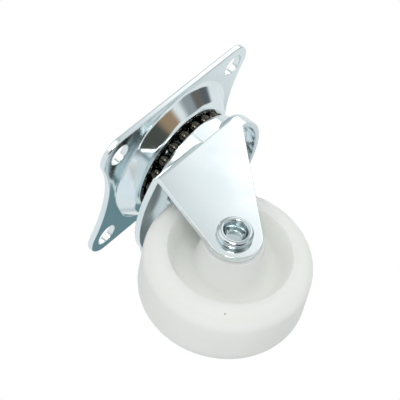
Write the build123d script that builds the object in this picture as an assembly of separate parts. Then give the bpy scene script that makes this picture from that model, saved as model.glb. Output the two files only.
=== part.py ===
from build123d import *
from math import asin, atan2, degrees, floor, pi
import os

# Swivel castor with a four-hole mounting plate, a double ball race, a pressed fork and a
# plastic wheel on a hollow rivet. Millimetres, +Z up. The origin lies on the swivel axis at
# the level of the plate's top face. X runs along the plate's long side, the wheel trails
# towards -X, and its axle lies along Y.

# Mounting plate
plate_thickness = 1.5
hole_spacing_x = 41.0
hole_spacing_y = 31.0
hole_radius = 2.85
ear_radius = 5.3
waist_depth = 3.5
plate_edge_rounding = 0.35

# Dish drawn down out of the plate
plate_border = 0.4
dish_wall_run = 3.65
dish_depth = 4.2
dish_crease_rounding = 1.5
dish_shoulder_rounding = 2.2

# Ball race between plate and fork
upper_ball_radius = 1.6
upper_ball_gap = 0.4
upper_ball_turn = 10.3
race_land = 3.0
groove_relief = 0.2
groove_depth = 0.5
ball_play = 0.05

# Fork
fork_thickness = 1.5
race_margin = 2.0
fork_bend_rounding = 1.8
collar_height = 2.6
collar_overhang = 0.25
collar_rounding = 0.8
web_front = 18.9
web_bulge = 3.6
skirt_bulge = 2.7
skirt_depth = 4.5
skirt_corner_rounding = 6.0
leg_rear = 8.1
leg_end_radius = 6.5

# Ball race between fork and lower cup
lower_ball_radius = 1.5
lower_ball_gap = 0.05
lower_race_land = 3.1
cup_thickness = 1.2
cup_inset = 3.0
cup_rim_gap = 0.6
cup_rounding = 0.6

# Kingpin, a stepped rivet
pin_radius = 4.0
pin_swivel_clearance = 0.3
pin_neck_radius = 3.0
pin_seat_clearance = 0.02
pin_top_head_radius = 4.9
pin_top_head_height = 2.2
pin_low_head_overlap = 1.1
pin_low_head_height = 1.8
pin_head_rounding = 0.9

# Wheel
wheel_radius = 19.9
wheel_headroom = 2.7
trail = 18.2
lip_width = 18.0
shoulder_rounding = 4.5
lip_rounding = 0.4
rim_depth = 5.3
recess_taper = 2.0
web_width = 7.0
recess_rounding = 2.0
hub_foot_radius = 8.0
hub_end_radius = 7.2
hub_end_rounding = 0.5
hub_side_play = 0.25

# Axle, a rivet hollowed at both ends and rolled over
axle_radius = 3.2
axle_running_clearance = 0.05
axle_seat_clearance = 0.02
rivet_roll_overhang = 1.1
rivet_roll_rounding = 0.93
rivet_roll_land = 0.04
rivet_mouth_radius = 2.9
rivet_mouth_rounding = 0.5
rivet_hollow_radius = 1.95
rivet_hollow_depth = 2.8
rivet_hollow_rounding = 0.3

# Heights, from the plate's top face down
plate_underside = -plate_thickness
dish_floor = plate_underside - dish_depth
dish_hollow = dish_floor + plate_thickness
upper_race_top = dish_floor + groove_depth
upper_ball_height = upper_race_top - ball_play - upper_ball_radius
upper_race_bottom = upper_ball_height - upper_ball_radius - ball_play
collar_top = upper_race_bottom + groove_depth
collar_underside = collar_top - fork_thickness
web_top = collar_top - collar_height
web_underside = web_top - fork_thickness
skirt_bottom = web_top - skirt_depth
bend_bottom = web_top - fork_bend_rounding
axle_height = web_underside - wheel_headroom - wheel_radius

lower_race_top = collar_underside + groove_depth
lower_ball_height = lower_race_top - ball_play - lower_ball_radius
lower_race_bottom = lower_ball_height - lower_ball_radius - ball_play
cup_inside = lower_race_bottom + groove_depth
cup_underside = cup_inside - cup_thickness

# Widths and radii that follow from the sizes above
plate_half_width = hole_spacing_y / 2 + ear_radius
dish_join_radius = plate_half_width - plate_border
dish_crease_radius = dish_join_radius - dish_crease_rounding / 2
dish_floor_radius = dish_crease_radius - dish_wall_run
upper_pitch_radius = dish_floor_radius - race_land
half_fork = upper_pitch_radius + race_margin
leg_inside = half_fork - fork_thickness
collar_radius = half_fork + collar_overhang
skirt_radius = half_fork + skirt_bulge
cup_rim_radius = upper_pitch_radius - cup_inset
lower_pitch_radius = cup_rim_radius - lower_race_land
pin_low_head_radius = pin_radius + pin_low_head_overlap
recess_mouth_radius = wheel_radius - rim_depth
recess_floor_radius = recess_mouth_radius - recess_taper
rivet_roll_radius = axle_radius + rivet_roll_overhang
rivet_head_height = 2 * rivet_roll_rounding + rivet_roll_land
upper_groove_radius = upper_ball_radius + groove_relief
lower_groove_radius = lower_ball_radius + groove_relief
beyond = 2 * (skirt_radius + trail + wheel_radius)


def disc(across, up, radius):
    """A disc in the upright section plane."""
    return Plane.XZ * Pos(across, up) * Circle(radius)


def block(across_min, across_max, up_min, up_max):
    """A rectangle in the upright section plane."""
    place = Pos((across_min + across_max) / 2, (up_min + up_max) / 2)
    return Plane.XZ * place * Rectangle(across_max - across_min, up_max - up_min)


def sheet(points, roundings, thickness, side):
    """The section of a bent sheet, one face of which follows the points."""
    face_line = FilletPolyline(*points, radius=roundings)
    return Plane.XZ * make_face(offset(face_line, amount=thickness, side=side).edges())


def turned(points, roundings):
    """The half section of a turned piece, each inner corner with its own rounding."""
    outline = FilletPolyline(*points, radius=roundings)
    return make_face([*outline.edges(), Line(points[-1], points[0])])


def above(level):
    """The section plane's half above a level."""
    return block(0, beyond, level, level + beyond)


def below(level):
    """The section plane's half below a level."""
    return block(0, beyond, level - beyond, level)


def plate_outline():
    """Straight long sides, an ear round each hole, and ends hollowed by one arc each."""
    ear_x = hole_spacing_x / 2
    ear_y = hole_spacing_y / 2
    end = ear_radius - waist_depth
    waist_radius = (ear_y**2 + end**2 - ear_radius**2) / (2 * waist_depth)
    waist_x = ear_x + end + waist_radius
    aim = degrees(atan2(ear_y, waist_x - ear_x))
    half = make_face(
        [
            Line((0, -plate_half_width), (0, plate_half_width)),
            Line((0, plate_half_width), (ear_x, plate_half_width)),
            CenterArc((ear_x, ear_y), ear_radius, 90, -90 - aim),
            CenterArc((waist_x, 0), waist_radius, 180 - aim, 2 * aim),
            CenterArc((ear_x, -ear_y), ear_radius, aim, -90 - aim),
            Line((ear_x, -plate_half_width), (0, -plate_half_width)),
        ]
    )
    return half + mirror(half, Plane.YZ)


def mounting_plate():
    """One sheet: a flat blank with four holes and a round dish drawn down with its race."""
    blank = extrude(plate_outline(), -plate_thickness)
    rims = blank.faces().filter_by(Axis.Z)
    blank = fillet(rims.edges(), plate_edge_rounding)
    for place in GridLocations(hole_spacing_x, hole_spacing_y, 2, 2):
        blank -= place * Cylinder(hole_radius, 3 * plate_thickness)
    blank -= Cylinder(dish_join_radius, 3 * plate_thickness)

    points = [
        (dish_join_radius, plate_underside),
        (dish_crease_radius, plate_underside),
        (dish_floor_radius, dish_floor),
        (pin_neck_radius + pin_seat_clearance, dish_floor),
    ]
    roundings = [dish_crease_rounding, dish_shoulder_rounding]
    dish = sheet(points, roundings, plate_thickness, Side.RIGHT)
    groove_height = upper_race_top - upper_groove_radius
    well = turned([*points, (points[-1][0], plate_underside)], [*roundings, 0])
    ridge = disc(upper_pitch_radius, groove_height, upper_groove_radius + plate_thickness)
    dish += ridge & Plane.XZ * well
    dish -= disc(upper_pitch_radius, groove_height, upper_groove_radius)
    return blank + revolve(dish, Axis.Z)


def fork_plan(inset):
    """The fork seen from above: a straight strip that ends in a round skirt."""
    half_width = half_fork - inset
    strip = Pos(-beyond / 2, 0) * Rectangle(beyond, 2 * half_width)
    rear = Circle(skirt_radius - inset) & Pos(beyond / 2, 0) * Rectangle(beyond, 2 * half_width)
    plan = strip + rear
    corners = plan.vertices().filter_by(lambda corner: corner.X > inset)
    return fillet(corners, skirt_corner_rounding - inset)


def fork_block(inset, top, rounding):
    """The body that the fork's sheet wraps, or its hollow, with rounded upper edges."""
    body = Pos(0, 0, top) * extrude(fork_plan(inset), -beyond)
    upper_rim = body.faces().sort_by(Axis.Z)[-1].edges()
    return fillet(upper_rim, rounding)


def collar_block(radius, half_width, top, rounding):
    """The raised ring round the swivel axis, trimmed flush with the legs."""
    corner = FilletPolyline((0, top), (radius, top), (radius, web_underside), radius=rounding)
    foot = Polyline((radius, web_underside), (0, web_underside), (0, top))
    ring = revolve(Plane.XZ * make_face([*corner.edges(), *foot.edges()]), Axis.Z)
    return ring & Box(beyond, 2 * half_width, beyond)


def fork_side():
    """The fork seen from the side: tapered legs with round ends, and the skirt behind."""
    leg_top = Line((-web_front, bend_bottom), (leg_rear, bend_bottom))
    leg_back = Line((leg_rear, bend_bottom), (leg_rear, skirt_bottom))
    leg_end = Pos(-trail, axle_height) * CenterArc((0, 0), leg_end_radius, 0, 360)
    legs = Plane.XZ * make_hull([*leg_top.edges(), *leg_back.edges(), *leg_end.edges()])
    head = block(-web_front - web_bulge, beyond, bend_bottom, 0)
    skirt = block(0, beyond, skirt_bottom, bend_bottom)
    return legs + head + skirt


def web_front_cut():
    """What is trimmed off in front of the web, whose edge bulges between the bends."""
    bulge_half_width = half_fork - fork_bend_rounding
    bulge = make_face(
        [
            ThreePointArc(
                (-web_front, -bulge_half_width),
                (-web_front - web_bulge, 0),
                (-web_front, bulge_half_width),
            ),
            Line((-web_front, bulge_half_width), (-web_front, -bulge_half_width)),
        ]
    )
    plan = Pos(-web_front - beyond / 2, 0) * Rectangle(beyond, beyond) - bulge
    return Pos(0, 0, bend_bottom) * extrude(plan, beyond)


def fork():
    """One stamped and drawn sheet: web, race ring, two legs and a rear skirt."""
    collar_inside = collar_radius - fork_thickness
    outside = fork_block(0, web_top, fork_bend_rounding)
    outside += collar_block(collar_radius, half_fork, collar_top, collar_rounding)
    inside = fork_block(fork_thickness, web_underside, fork_bend_rounding - fork_thickness)
    hollow = block(0, collar_inside, web_underside, collar_underside)
    inside += revolve(hollow, Axis.Z) & Box(beyond, 2 * leg_inside, beyond)
    shell = outside - inside

    upper_groove = upper_race_bottom + upper_groove_radius
    lower_groove = lower_race_top - lower_groove_radius
    rib = disc(upper_pitch_radius, upper_groove, upper_groove_radius + fork_thickness)
    shell += revolve(rib, Axis.Z) & outside
    crown = disc(lower_pitch_radius, lower_groove, lower_groove_radius + fork_thickness)
    shell += revolve(crown & above(collar_underside), Axis.Z)
    grooves = disc(upper_pitch_radius, upper_groove, upper_groove_radius)
    grooves += disc(lower_pitch_radius, lower_groove, lower_groove_radius)
    shell -= revolve(grooves, Axis.Z)
    shell -= Cylinder(pin_radius + pin_swivel_clearance, beyond)

    shell &= extrude(fork_side(), beyond, both=True)
    shell -= web_front_cut()
    axle_hole = Cylinder(axle_radius + axle_seat_clearance, beyond, rotation=(90, 0, 0))
    return shell - Pos(-trail, 0, axle_height) * axle_hole


def lower_cup():
    """The cup that holds the lower balls against the web."""
    wall = cup_rim_radius - cup_thickness
    points = [
        (pin_radius + pin_seat_clearance, cup_inside),
        (wall, cup_inside),
        (wall, collar_underside - cup_rim_gap),
    ]
    cup = sheet(points, cup_rounding, cup_thickness, Side.RIGHT)
    groove_height = lower_race_bottom + lower_groove_radius
    ridge = disc(lower_pitch_radius, groove_height, lower_groove_radius + cup_thickness)
    cup += ridge & below(cup_inside)
    cup -= disc(lower_pitch_radius, groove_height, lower_groove_radius)
    return revolve(cup, Axis.Z)


def kingpin():
    """The stepped rivet that carries fork and cup, headed over inside the dish."""
    points = [
        (0, dish_hollow + pin_top_head_height),
        (pin_top_head_radius, dish_hollow + pin_top_head_height),
        (pin_top_head_radius, dish_hollow),
        (pin_neck_radius, dish_hollow),
        (pin_neck_radius, dish_floor),
        (pin_radius, dish_floor),
        (pin_radius, cup_underside),
        (pin_low_head_radius, cup_underside),
        (pin_low_head_radius, cup_underside - pin_low_head_height),
        (0, cup_underside - pin_low_head_height),
    ]
    roundings = [pin_head_rounding, 0, 0, 0, 0, 0, 0, pin_head_rounding]
    return revolve(Plane.XZ * turned(points, roundings), Axis.Z)


def ball_ring(ball_radius, pitch_radius, height, gap, turn=0):
    """As many balls as the ring takes with a gap between neighbours."""
    count = floor(pi / asin((ball_radius + gap / 2) / pitch_radius))
    places = PolarLocations(pitch_radius, count, start_angle=turn)
    return [Pos(0, 0, height) * place * Sphere(ball_radius) for place in places]


def about_axle(half_section):
    """Turns a half section round the axle, mirrored about the middle of the fork."""
    body = revolve(half_section + mirror(half_section, Plane.XZ), Axis.Y)
    return Pos(-trail, 0, axle_height) * body


def axle_rivet():
    """A pin through both legs, each hollowed end rolled over against its leg."""
    head_end = half_fork + rivet_head_height
    points = [
        (0, head_end - rivet_hollow_depth),
        (rivet_hollow_radius, head_end - rivet_hollow_depth),
        (rivet_mouth_radius, head_end),
        (rivet_roll_radius, head_end),
        (rivet_roll_radius, half_fork),
        (axle_radius, half_fork),
        (axle_radius, 0),
        (0, 0),
    ]
    roundings = [
        rivet_hollow_rounding,
        rivet_mouth_rounding,
        rivet_roll_rounding,
        rivet_roll_rounding,
        0,
        0,
    ]
    return about_axle(turned(points, roundings))


def wheel():
    """One moulding: broad tread, a dished recess in each side and a tapered hub."""
    hub_end = leg_inside - hub_side_play
    points = [
        (axle_radius + axle_running_clearance, 0),
        (axle_radius + axle_running_clearance, hub_end),
        (hub_end_radius, hub_end),
        (hub_foot_radius, web_width / 2),
        (recess_floor_radius, web_width / 2),
        (recess_mouth_radius, lip_width / 2),
        (wheel_radius, lip_width / 2),
        (wheel_radius, 0),
    ]
    roundings = [
        0,
        hub_end_rounding,
        recess_rounding,
        recess_rounding,
        lip_rounding,
        shoulder_rounding,
    ]
    return about_axle(turned(points, roundings))


def write(node, solid):
    """One STEP file for each piece."""
    export_step(solid, f"parts/{node}.step")


os.makedirs("parts", exist_ok=True)
write("mounting_plate", mounting_plate())
write("kingpin", kingpin())
write("lower_cup", lower_cup())
write("fork", fork())
write("axle_rivet", axle_rivet())
write("wheel", wheel())
upper_balls = ball_ring(
    upper_ball_radius, upper_pitch_radius, upper_ball_height, upper_ball_gap, upper_ball_turn
)
for number, ball in enumerate(upper_balls, start=1):
    write(f"upper_ball_{number:02d}", ball)
lower_balls = ball_ring(lower_ball_radius, lower_pitch_radius, lower_ball_height, lower_ball_gap)
for number, ball in enumerate(lower_balls, start=1):
    write(f"lower_ball_{number:02d}", ball)
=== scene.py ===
"""Finishes, light and camera for a small swivel castor.

The castor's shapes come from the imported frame. This script gives each metal and plastic
piece its finish, builds the two rings of bearing balls, and sets the studio and the camera.
"""

from __future__ import annotations

import logging
import math
from dataclasses import dataclass
from enum import Enum

import bpy
from mathutils import Matrix, Vector

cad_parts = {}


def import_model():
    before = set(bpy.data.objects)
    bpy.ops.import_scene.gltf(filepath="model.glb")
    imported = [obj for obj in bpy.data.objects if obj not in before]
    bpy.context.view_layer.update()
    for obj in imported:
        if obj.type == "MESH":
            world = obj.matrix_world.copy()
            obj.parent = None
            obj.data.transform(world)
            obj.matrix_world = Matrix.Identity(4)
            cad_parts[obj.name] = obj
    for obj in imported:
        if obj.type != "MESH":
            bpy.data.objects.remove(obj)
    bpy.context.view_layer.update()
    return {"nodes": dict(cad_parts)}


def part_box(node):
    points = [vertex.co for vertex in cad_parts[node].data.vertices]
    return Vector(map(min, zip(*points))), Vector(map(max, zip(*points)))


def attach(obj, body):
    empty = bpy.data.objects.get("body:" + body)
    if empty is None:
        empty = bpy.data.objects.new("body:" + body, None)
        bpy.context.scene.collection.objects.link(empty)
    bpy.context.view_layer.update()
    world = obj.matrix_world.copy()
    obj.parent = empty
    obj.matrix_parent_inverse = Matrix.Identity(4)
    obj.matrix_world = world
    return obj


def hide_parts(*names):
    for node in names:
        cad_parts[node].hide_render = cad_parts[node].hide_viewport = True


LOG = logging.getLogger("castor")
MM = 0.001
FLOOR_GAP = 0.2 * MM
BALL_SEGMENTS = 32
BALL_RINGS = 16
CLOUD_LOW = 0.3
CLOUD_HIGH = 0.7

Colour = tuple[float, float, float]
Direction = tuple[float, float, float]
Nodes = dict[str, bpy.types.Object]

LAMP_TARGET: Direction = (-0.01, 0.0, -0.02)

# A Mix node has its colour sockets after those for numbers and vectors.
MIX_FIRST_COLOUR = 6
MIX_SECOND_COLOUR = 7
MIX_RESULT_COLOUR = 2


class Node(str, Enum):
    """The castor's nodes in the frame."""

    PLATE = "mounting_plate"
    KINGPIN = "kingpin"
    CUP = "lower_cup"
    FORK = "fork"
    RIVET = "axle_rivet"
    WHEEL = "wheel"


class Body(str, Enum):
    """The moving body that built pieces ride on."""

    BALLS = "ball_body"


def opaque(colour: Colour) -> tuple[float, float, float, float]:
    """The colour with full alpha.

    Args:
        colour: linear red, green and blue.

    Returns:
        Blender's four numbers.
    """
    return (*colour, 1.0)


@dataclass
class Wiring:
    """Adds and joins the nodes of one tree."""

    tree: bpy.types.NodeTree

    def add(self, kind: str, **settings: object) -> bpy.types.Node:
        """Adds a node.

        Args:
            kind: Blender's name for the node type.
            settings: attributes to set on the node.

        Returns:
            The new node.
        """
        node = self.tree.nodes.new(kind)
        for name, value in settings.items():
            setattr(node, name, value)
        return node

    def feed(self, target: bpy.types.NodeSocket, value: object) -> None:
        """Links a socket to an input, or sets the input's own value.

        Args:
            target: the input.
            value: an output socket, or a value for the input.
        """
        if isinstance(value, bpy.types.NodeSocket):
            self.tree.links.new(value, target)
        else:
            target.default_value = value

    def math(self, operation: str, *values: object) -> bpy.types.NodeSocket:
        """Adds a Math node.

        Args:
            operation: the node's operation.
            values: numbers or sockets for its inputs.

        Returns:
            The node's output.
        """
        node = self.add("ShaderNodeMath", operation=operation)
        for target, value in zip(node.inputs, values):
            self.feed(target, value)
        return node.outputs[0]

    def between(
        self,
        value: object,
        low: float,
        high: float,
        start: float = 0.0,
        end: float = 1.0,
    ) -> bpy.types.NodeSocket:
        """Maps a value from one range to another, easing in and out, clamped.

        Args:
            value: the number or socket to map.
            low: where the input range starts.
            high: where the input range ends.
            start: the output at low.
            end: the output at high.

        Returns:
            The mapped value.
        """
        node = self.add("ShaderNodeMapRange", interpolation_type="SMOOTHSTEP")
        for target, item in zip(node.inputs, (value, low, high, start, end)):
            self.feed(target, item)
        return node.outputs[0]

    def mix(self, factor: object, first: object, second: object) -> bpy.types.NodeSocket:
        """Mixes two colours.

        Args:
            factor: how much of the second colour.
            first: the colour at 0.
            second: the colour at 1.

        Returns:
            The mixed colour.
        """
        node = self.add("ShaderNodeMix", data_type="RGBA")
        self.feed(node.inputs["Factor"], factor)
        self.feed(node.inputs[MIX_FIRST_COLOUR], first)
        self.feed(node.inputs[MIX_SECOND_COLOUR], second)
        return node.outputs[MIX_RESULT_COLOUR]

    def noise(self, place: object, scale: float, detail: float = 2.0) -> bpy.types.NodeSocket:
        """Adds a noise pattern.

        Args:
            place: the coordinates that the pattern follows.
            scale: its frequency, per metre.
            detail: its number of finer layers.

        Returns:
            The pattern's value, about 0.5 on average.
        """
        node = self.add("ShaderNodeTexNoise")
        self.feed(node.inputs["Vector"], place)
        self.feed(node.inputs["Scale"], scale)
        self.feed(node.inputs["Detail"], detail)
        return node.outputs["Fac"]


def plating_group() -> bpy.types.ShaderNodeTree:
    """Builds the group for bright zinc plate, with its cloudy tint and fine grain.

    Returns:
        The group, with Clear, Deep, Cloud Scale, Shine, Dull and Grain Scale in, and Colour,
        Roughness and Grain out.
    """
    group = bpy.data.node_groups.new("bright zinc plating", "ShaderNodeTree")
    inward = {"in_out": "INPUT"}
    outward = {"in_out": "OUTPUT"}
    face = group.interface
    for name in ("Clear", "Deep"):
        face.new_socket(name, socket_type="NodeSocketColor", **inward)
    for name in ("Cloud Scale", "Shine", "Dull", "Grain Scale"):
        face.new_socket(name, socket_type="NodeSocketFloat", **inward)
    face.new_socket("Colour", socket_type="NodeSocketColor", **outward)
    for name in ("Roughness", "Grain"):
        face.new_socket(name, socket_type="NodeSocketFloat", **outward)
    wiring = Wiring(group)
    given = wiring.add("NodeGroupInput").outputs
    result = wiring.add("NodeGroupOutput").inputs
    place = wiring.add("ShaderNodeTexCoord").outputs["Object"]
    clouds = wiring.noise(place, given["Cloud Scale"], 3.0)
    cloud = wiring.between(clouds, CLOUD_LOW, CLOUD_HIGH)
    grain = wiring.noise(place, given["Grain Scale"], 4.0)
    spread = wiring.math("SUBTRACT", given["Dull"], given["Shine"])
    rough = wiring.math("MULTIPLY_ADD", cloud, spread, given["Shine"])
    wiring.feed(result["Colour"], wiring.mix(cloud, given["Clear"], given["Deep"]))
    wiring.feed(result["Roughness"], rough)
    wiring.feed(result["Grain"], grain)
    return group


@dataclass(frozen=True)
class ZincFinish:
    """Bright zinc plate on pressed or turned steel."""

    name: str
    clear: Colour = (0.85, 0.90, 0.91)
    deep: Colour = (0.79, 0.86, 0.88)
    shine: float = 0.09
    dull: float = 0.15
    cloud_scale: float = 90.0
    grain_scale: float = 2600.0
    grain_depth: float = 0.0015 * MM
    rim_radius: float = 0.28 * MM
    rim_samples: int = 6

    def material(self, plating: bpy.types.ShaderNodeTree) -> bpy.types.Material:
        """Makes the material.

        Args:
            plating: the shared plating group.

        Returns:
            The new material.
        """
        made = bpy.data.materials.new(self.name)
        made.use_nodes = True
        wiring = Wiring(made.node_tree)
        shader = made.node_tree.nodes["Principled BSDF"]
        shader.inputs["Metallic"].default_value = 1.0
        group = wiring.add("ShaderNodeGroup", node_tree=plating)
        group.inputs["Clear"].default_value = opaque(self.clear)
        group.inputs["Deep"].default_value = opaque(self.deep)
        group.inputs["Cloud Scale"].default_value = self.cloud_scale
        group.inputs["Shine"].default_value = self.shine
        group.inputs["Dull"].default_value = self.dull
        group.inputs["Grain Scale"].default_value = self.grain_scale
        wiring.feed(shader.inputs["Base Color"], group.outputs["Colour"])
        wiring.feed(shader.inputs["Roughness"], group.outputs["Roughness"])
        rim = wiring.add("ShaderNodeBevel", samples=self.rim_samples)
        rim.inputs["Radius"].default_value = self.rim_radius
        bump = wiring.add("ShaderNodeBump")
        bump.inputs["Strength"].default_value = 1.0
        bump.inputs["Distance"].default_value = self.grain_depth
        wiring.feed(bump.inputs["Height"], group.outputs["Grain"])
        wiring.feed(bump.inputs["Normal"], rim.outputs[0])
        wiring.feed(shader.inputs["Normal"], bump.outputs[0])
        return made


@dataclass(frozen=True)
class BallFinish:
    """Polished ball steel, its colour set far darker than real steel so that it paints the shade in
    the ball groove.
    """

    name: str = "ball steel with painted shade"
    # Painted shade: this colour is far darker than real steel, so that the balls look as dark as the
    # shaded groove they sit in.
    colour: Colour = (0.066, 0.060, 0.048)
    shine: float = 0.05
    smear: float = 0.12
    film_scale: float = 700.0
    film_low: float = 0.35
    film_high: float = 0.7

    def material(self) -> bpy.types.Material:
        """Makes the material.

        Returns:
            The new material.
        """
        made = bpy.data.materials.new(self.name)
        made.use_nodes = True
        wiring = Wiring(made.node_tree)
        shader = made.node_tree.nodes["Principled BSDF"]
        shader.inputs["Metallic"].default_value = 1.0
        shader.inputs["Base Color"].default_value = opaque(self.colour)
        place = wiring.add("ShaderNodeTexCoord").outputs["Object"]
        film = wiring.noise(place, self.film_scale)
        rough = wiring.between(film, self.film_low, self.film_high, self.shine, self.smear)
        wiring.feed(shader.inputs["Roughness"], rough)
        return made


@dataclass(frozen=True)
class PlasticFinish:
    """The wheel's milky moulded plastic."""

    name: str = "milky wheel plastic"
    colour: Colour = (0.86, 0.87, 0.85)
    shade: Colour = (0.84, 0.85, 0.83)
    roughness: float = 0.5
    roughness_spread: float = 0.05
    ior: float = 1.49
    specular: float = 0.12
    glow: float = 1.0
    glow_depth: float = 6.0 * MM
    glow_radius: Colour = (1.0, 0.95, 0.9)
    cloud_scale: float = 60.0
    grain_scale: float = 1500.0
    grain_depth: float = 0.006 * MM
    speck_place: Direction = (-0.03227, -0.00853, -0.04491)
    speck_size: float = 0.28 * MM
    speck_colour: Colour = (0.30, 0.29, 0.26)
    speck_strength: float = 0.8

    def material(self) -> bpy.types.Material:
        """Makes the material.

        Returns:
            The new material.
        """
        made = bpy.data.materials.new(self.name)
        made.use_nodes = True
        wiring = Wiring(made.node_tree)
        shader = made.node_tree.nodes["Principled BSDF"]
        shader.inputs["Subsurface Weight"].default_value = self.glow
        shader.inputs["Subsurface Radius"].default_value = self.glow_radius
        shader.inputs["Subsurface Scale"].default_value = self.glow_depth
        shader.inputs["IOR"].default_value = self.ior
        shader.inputs["Specular IOR Level"].default_value = self.specular
        place = wiring.add("ShaderNodeTexCoord").outputs["Object"]
        clouds = wiring.noise(place, self.cloud_scale)
        cloud = wiring.between(clouds, CLOUD_LOW, CLOUD_HIGH)
        clean = wiring.mix(cloud, opaque(self.colour), opaque(self.shade))
        away = wiring.add("ShaderNodeVectorMath", operation="DISTANCE")
        wiring.feed(away.inputs[0], place)
        wiring.feed(away.inputs[1], self.speck_place)
        core = self.speck_size / 2
        distance = away.outputs["Value"]
        speck = wiring.between(distance, core, self.speck_size, self.speck_strength, 0.0)
        wiring.feed(shader.inputs["Base Color"], wiring.mix(speck, clean, opaque(self.speck_colour)))
        fine = wiring.noise(place, self.grain_scale, 3.0)
        smoothest = self.roughness - self.roughness_spread
        roughest = self.roughness + self.roughness_spread
        rough = wiring.between(fine, CLOUD_LOW, CLOUD_HIGH, smoothest, roughest)
        wiring.feed(shader.inputs["Roughness"], rough)
        bump = wiring.add("ShaderNodeBump")
        bump.inputs["Strength"].default_value = 1.0
        bump.inputs["Distance"].default_value = self.grain_depth
        wiring.feed(bump.inputs["Height"], fine)
        wiring.feed(shader.inputs["Normal"], bump.outputs[0])
        return made


def dress(nodes: Nodes, node: Node, material: bpy.types.Material) -> None:
    """Gives a CAD node its finish.

    Args:
        nodes: the frame's objects by name.
        node: the node to dress.
        material: its finish.
    """
    mesh = nodes[node.value].data
    for index in range(len(mesh.materials)):
        mesh.materials[index] = material
    LOG.info("%s wears %s", node.value, material.name)


@dataclass(frozen=True)
class PlateAssembly:
    """The mounting plate and the rivet and cup that hold the races together."""

    plate: ZincFinish = ZincFinish("plate zinc")
    pin: ZincFinish = ZincFinish("kingpin zinc")
    cup: ZincFinish = ZincFinish("cup zinc")

    def build(self, nodes: Nodes, plating: bpy.types.ShaderNodeTree) -> None:
        """Dresses the plate, the kingpin and the cup.

        Args:
            nodes: the frame's objects by name.
            plating: the shared plating group.
        """
        dress(nodes, Node.PLATE, self.plate.material(plating))
        dress(nodes, Node.KINGPIN, self.pin.material(plating))
        dress(nodes, Node.CUP, self.cup.material(plating))


@dataclass(frozen=True)
class ForkAssembly:
    """The pressed fork and the rivet that is the wheel's axle."""

    fork: ZincFinish = ZincFinish("fork zinc")
    # Painted shade: the rivet's zinc is a darker copy of the fork's, so that its rolled head looks
    # as dark as its shade and dark reflections.
    rivet: ZincFinish = ZincFinish(
        "rivet zinc with painted shade", clear=(0.62, 0.67, 0.68), deep=(0.50, 0.58, 0.60), shine=0.08, dull=0.13
    )

    def build(self, nodes: Nodes, plating: bpy.types.ShaderNodeTree) -> None:
        """Dresses the fork and the rivet.

        Args:
            nodes: the frame's objects by name.
            plating: the shared plating group.
        """
        dress(nodes, Node.FORK, self.fork.material(plating))
        dress(nodes, Node.RIVET, self.rivet.material(plating))


@dataclass(frozen=True)
class WheelAssembly:
    """The moulded wheel."""

    plastic: PlasticFinish = PlasticFinish()

    def build(self, nodes: Nodes) -> None:
        """Dresses the wheel.

        Args:
            nodes: the frame's objects by name.
        """
        dress(nodes, Node.WHEEL, self.plastic.material())


def ball_ring_tree() -> bpy.types.GeometryNodeTree:
    """Builds the tree that lays a ring of balls.

    Returns:
        The tree, with Balls, Pitch Radius, Ball Radius, Height, Turn and Finish in.
    """
    tree = bpy.data.node_groups.new("ring of balls", "GeometryNodeTree")
    face = tree.interface
    face.new_socket("Balls", in_out="INPUT", socket_type="NodeSocketInt")
    for name in ("Pitch Radius", "Ball Radius", "Height", "Turn"):
        face.new_socket(name, in_out="INPUT", socket_type="NodeSocketFloat")
    face.new_socket("Finish", in_out="INPUT", socket_type="NodeSocketMaterial")
    face.new_socket("Ring", in_out="OUTPUT", socket_type="NodeSocketGeometry")
    wiring = Wiring(tree)
    given = wiring.add("NodeGroupInput").outputs
    circle = wiring.add("GeometryNodeMeshCircle", fill_type="NONE")
    wiring.feed(circle.inputs["Vertices"], given["Balls"])
    wiring.feed(circle.inputs["Radius"], given["Pitch Radius"])
    lift = wiring.add("ShaderNodeCombineXYZ")
    wiring.feed(lift.inputs["Z"], given["Height"])
    turn = wiring.add("ShaderNodeCombineXYZ")
    wiring.feed(turn.inputs["Z"], given["Turn"])
    placed = wiring.add("GeometryNodeTransform")
    wiring.feed(placed.inputs["Geometry"], circle.outputs["Mesh"])
    wiring.feed(placed.inputs["Translation"], lift.outputs[0])
    wiring.feed(placed.inputs["Rotation"], turn.outputs[0])
    ball = wiring.add("GeometryNodeMeshUVSphere")
    ball.inputs["Segments"].default_value = BALL_SEGMENTS
    ball.inputs["Rings"].default_value = BALL_RINGS
    wiring.feed(ball.inputs["Radius"], given["Ball Radius"])
    laid = wiring.add("GeometryNodeInstanceOnPoints")
    wiring.feed(laid.inputs["Points"], placed.outputs["Geometry"])
    wiring.feed(laid.inputs["Instance"], ball.outputs["Mesh"])
    smooth = wiring.add("GeometryNodeSetShadeSmooth")
    wiring.feed(smooth.inputs["Geometry"], laid.outputs["Instances"])
    real = wiring.add("GeometryNodeRealizeInstances")
    wiring.feed(real.inputs["Geometry"], smooth.outputs["Geometry"])
    finished = wiring.add("GeometryNodeSetMaterial")
    wiring.feed(finished.inputs["Geometry"], real.outputs["Geometry"])
    wiring.feed(finished.inputs["Material"], given["Finish"])
    result = wiring.add("NodeGroupOutput")
    wiring.feed(result.inputs["Ring"], finished.outputs["Geometry"])
    return tree


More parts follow.
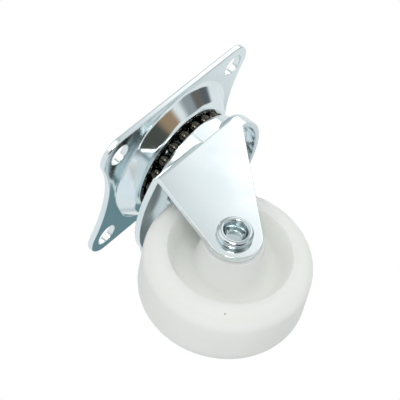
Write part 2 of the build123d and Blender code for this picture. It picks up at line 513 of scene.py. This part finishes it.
@dataclass(frozen=True)
class BallRing:
    """One ring of bearing balls, laid out as the frame has its balls."""

    name: str
    prefix: str

    def build(
        self, nodes: Nodes, tree: bpy.types.GeometryNodeTree, finish: bpy.types.Material
    ) -> None:
        """Builds the ring in place of the frame's single balls.

        Args:
            nodes: the frame's objects by name.
            tree: the tree that lays a ring.
            finish: the balls' material.
        """
        replaced = sorted(name for name in nodes if name.startswith(self.prefix))
        low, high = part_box(replaced[0])
        centre = [(first + last) / 2 for first, last in zip(low, high)]
        sizes = {
            "Balls": len(replaced),
            "Pitch Radius": math.hypot(centre[0], centre[1]),
            "Ball Radius": (high[2] - low[2]) / 2,
            "Height": centre[2],
            "Turn": math.atan2(centre[1], centre[0]),
            "Finish": finish,
        }
        pattern = bpy.data.objects.new(self.name + "_pattern", bpy.data.meshes.new(self.name))
        bpy.context.scene.collection.objects.link(pattern)
        modifier = pattern.modifiers.new("ring", "NODES")
        modifier.node_group = tree
        for socket in tree.interface.items_tree:
            if socket.in_out == "INPUT":
                modifier[socket.identifier] = sizes[socket.name]
        shape = pattern.evaluated_get(bpy.context.evaluated_depsgraph_get())
        mesh = bpy.data.meshes.new_from_object(shape)
        mesh.name = self.name
        bpy.data.objects.remove(pattern)
        ring = bpy.data.objects.new(self.name, mesh)
        bpy.context.scene.collection.objects.link(ring)
        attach(ring, Body.BALLS.value)
        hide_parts(*replaced)
        LOG.info("%s: %d balls in %s", self.name, len(replaced), finish.name)


@dataclass(frozen=True)
class View:
    """The photograph's camera, below the castor and turned on its side."""

    place: Direction = (-0.23637, -0.33557, -0.15249)
    right: Direction = (0.64478, -0.13807, -0.75179)
    up: Direction = (0.5443, -0.6076, 0.57841)
    lens: float = 161.36
    sensor: float = 36.0
    nearest: float = 0.01
    farthest: float = 10.0

    @property
    def turn(self) -> Matrix:
        """The camera's axes as the columns of a rotation."""
        back = Vector(self.right).cross(Vector(self.up)).normalized()
        up = back.cross(Vector(self.right)).normalized()
        right = up.cross(back)
        return Matrix((right, up, back)).transposed()

    def towards(self, direction: Direction) -> Vector:
        """A direction of the photograph in the castor's frame.

        Args:
            direction: how far right, up and back towards the camera.

        Returns:
            The unit vector.
        """
        return (self.turn @ Vector(direction)).normalized()

    def build(self) -> None:
        """Makes the camera and sets it as the scene's own."""
        data = bpy.data.cameras.new("photo camera")
        data.lens = self.lens
        data.sensor_width = self.sensor
        data.clip_start = self.nearest
        data.clip_end = self.farthest
        camera = bpy.data.objects.new("photo camera", data)
        bpy.context.scene.collection.objects.link(camera)
        camera.matrix_world = Matrix.Translation(self.place) @ self.turn.to_4x4()
        bpy.context.scene.camera = camera


@dataclass(frozen=True)
class Card:
    """A soft area that shiny metal mirrors, placed as the camera sees it.

    Core and edge are degrees from its middle: full strength to the core, gone at the edge.
    """

    name: str
    towards: Direction
    colour: Colour
    core: float
    edge: float


@dataclass(frozen=True)
class Lamp:
    """A soft square lamp, placed as the camera sees it from the castor."""

    name: str
    towards: Direction
    distance: float
    size: float
    watts: float


@dataclass(frozen=True)
class Studio:
    """A pale room: white backdrop, one soft lamp and a pale floor under the castor."""

    view: View
    room: Colour = (0.80, 0.84, 0.85)
    cards: tuple[Card, ...] = (
        Card("soft ground", (0.1, -0.9, 0.4), (0.76, 0.83, 0.88), 30.0, 60.0),
        Card("bench", (0.30, -0.60, -0.74), (0.15, 0.25, 0.275), 16.0, 21.5),
        Card("bench end", (0.62, -0.65, -0.45), (0.15, 0.25, 0.275), 14.0, 25.0),
        Card("dark edge", (0.85, 0.45, -0.30), (0.10, 0.12, 0.13), 12.0, 20.0),
        Card("grey panel", (0.96, 0.20, 0.08), (0.29, 0.33, 0.34), 9.0, 19.0),
        Card("dark panel", (0.953, 0.284, -0.103), (0.14, 0.13, 0.12), 4.0, 11.0),
        Card("dark stand", (0.535, -0.414, 0.737), (0.07, 0.075, 0.065), 15.0, 31.0),
        Card("brown panel", (0.79, -0.08, 0.61), (0.33, 0.23, 0.14), 5.0, 14.0),
        Card("ceiling", (0.0, 1.0, 0.15), (0.56, 0.60, 0.61), 30.0, 60.0),
        Card("bright window", (0.492, 0.861, -0.097), (1.47, 1.47, 1.47), 22.0, 26.5),
        Card("soft window", (-0.45, 0.60, 0.66), (1.3, 1.3, 1.3), 24.0, 40.0),
        Card("dark round the lens", (0.0, -0.08, 1.0), (0.05, 0.05, 0.05), 15.0, 27.0),
        Card("dark beside the lens", (-0.50, -0.05, 0.86), (0.04, 0.04, 0.04), 10.0, 20.0),
        Card("flash", (0.05, 0.25, 0.95), (10.0, 10.0, 9.6), 8.5, 13.5),
    )
    backdrop: Colour = (1.0, 1.0, 1.0)
    soft_light: Colour = (0.64, 0.65, 0.65)
    floor_size: float = 1.2
    floor_colour: Colour = (0.86, 0.87, 0.87)
    floor_roughness: float = 0.7
    key_lamp: Lamp = Lamp("key lamp", (0.12, 0.72, 0.68), 0.6, 0.35, 0.12)

    def build_world(self) -> None:
        """Makes the world: white to the camera, and a room with cards to the metal."""
        world = bpy.data.worlds.new("studio")
        bpy.context.scene.world = world
        world.use_nodes = True
        wiring = Wiring(world.node_tree)
        background = world.node_tree.nodes["Background"]
        looking = wiring.add("ShaderNodeTexCoord").outputs["Generated"]
        colour: object = opaque(self.room)
        for card in self.cards:
            angle = wiring.add("ShaderNodeVectorMath", operation="DOT_PRODUCT")
            wiring.feed(angle.inputs[0], looking)
            wiring.feed(angle.inputs[1], tuple(self.view.towards(card.towards)))
            edge = math.cos(math.radians(card.edge))
            core = math.cos(math.radians(card.core))
            mask = wiring.between(angle.outputs["Value"], edge, core)
            colour = wiring.mix(mask, colour, opaque(card.colour))
        path = wiring.add("ShaderNodeLightPath")
        plain = wiring.mix(path.outputs["Is Diffuse Ray"], colour, opaque(self.soft_light))
        seen = wiring.mix(path.outputs["Is Camera Ray"], plain, opaque(self.backdrop))
        wiring.feed(background.inputs["Color"], seen)
        background.inputs["Strength"].default_value = 1.0

    def build_floor(self, level: float) -> None:
        """Lays the floor.

        Args:
            level: the height of the wheel's lowest point.
        """
        half = self.floor_size / 2
        mesh = bpy.data.meshes.new("floor")
        ground = ((-half, -half), (half, -half), (half, half), (-half, half))
        corners = [(across, along, level) for across, along in ground]
        mesh.from_pydata(corners, [], [(0, 1, 2, 3)])
        floor = bpy.data.objects.new("floor", mesh)
        bpy.context.scene.collection.objects.link(floor)
        material = bpy.data.materials.new("pale floor")
        material.use_nodes = True
        wiring = Wiring(material.node_tree)
        shader = material.node_tree.nodes["Principled BSDF"]
        shader.inputs["Base Color"].default_value = opaque(self.floor_colour)
        shader.inputs["Roughness"].default_value = self.floor_roughness
        clear = wiring.add("ShaderNodeBsdfTransparent")
        geometry = wiring.add("ShaderNodeNewGeometry")
        pick = wiring.add("ShaderNodeMixShader")
        wiring.feed(pick.inputs[0], geometry.outputs["Backfacing"])
        wiring.feed(pick.inputs[1], shader.outputs[0])
        wiring.feed(pick.inputs[2], clear.outputs[0])
        output = material.node_tree.nodes["Material Output"]
        wiring.feed(output.inputs["Surface"], pick.outputs[0])
        mesh.materials.append(material)
        floor.visible_diffuse = False
        floor.visible_glossy = False
        floor.visible_shadow = False

    def hang_lamp(self, target: Direction) -> None:
        """Hangs the key lamp.

        Args:
            target: the point that it faces.
        """
        key = self.key_lamp
        light = bpy.data.lights.new(key.name, "AREA")
        light.size = key.size
        light.energy = key.watts
        lamp = bpy.data.objects.new(key.name, light)
        bpy.context.scene.collection.objects.link(lamp)
        lamp.location = self.view.towards(key.towards) * key.distance
        aim = Vector(target) - lamp.location
        lamp.rotation_mode = "QUATERNION"
        lamp.rotation_quaternion = aim.to_track_quat("-Z", "Y")
        lamp.visible_camera = False
        lamp.visible_glossy = False

    def build(self, level: float) -> None:
        """Builds the room, the floor and the lamp.

        Args:
            level: the floor's height.
        """
        self.build_world()
        self.build_floor(level)
        self.hang_lamp(LAMP_TARGET)
        LOG.info("studio: %d cards, one lamp, floor at %.4f m", len(self.cards), level)


def main() -> None:
    """Builds the scene in order."""
    logging.basicConfig(level=logging.INFO, format="%(name)s: %(message)s")
    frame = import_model()
    nodes = frame["nodes"]
    bpy.context.scene.view_settings.view_transform = "Standard"

    plating = plating_group()
    PlateAssembly().build(nodes, plating)
    ForkAssembly().build(nodes, plating)
    WheelAssembly().build(nodes)
    steel = BallFinish().material()
    ring_tree = ball_ring_tree()
    BallRing("upper_balls", "upper_ball_").build(nodes, ring_tree, steel)
    BallRing("lower_balls", "lower_ball_").build(nodes, ring_tree, steel)

    view = View()
    view.build()
    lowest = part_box(Node.WHEEL.value)[0][2]
    Studio(view).build(lowest - FLOOR_GAP)


if __name__ == "__main__":
    main()
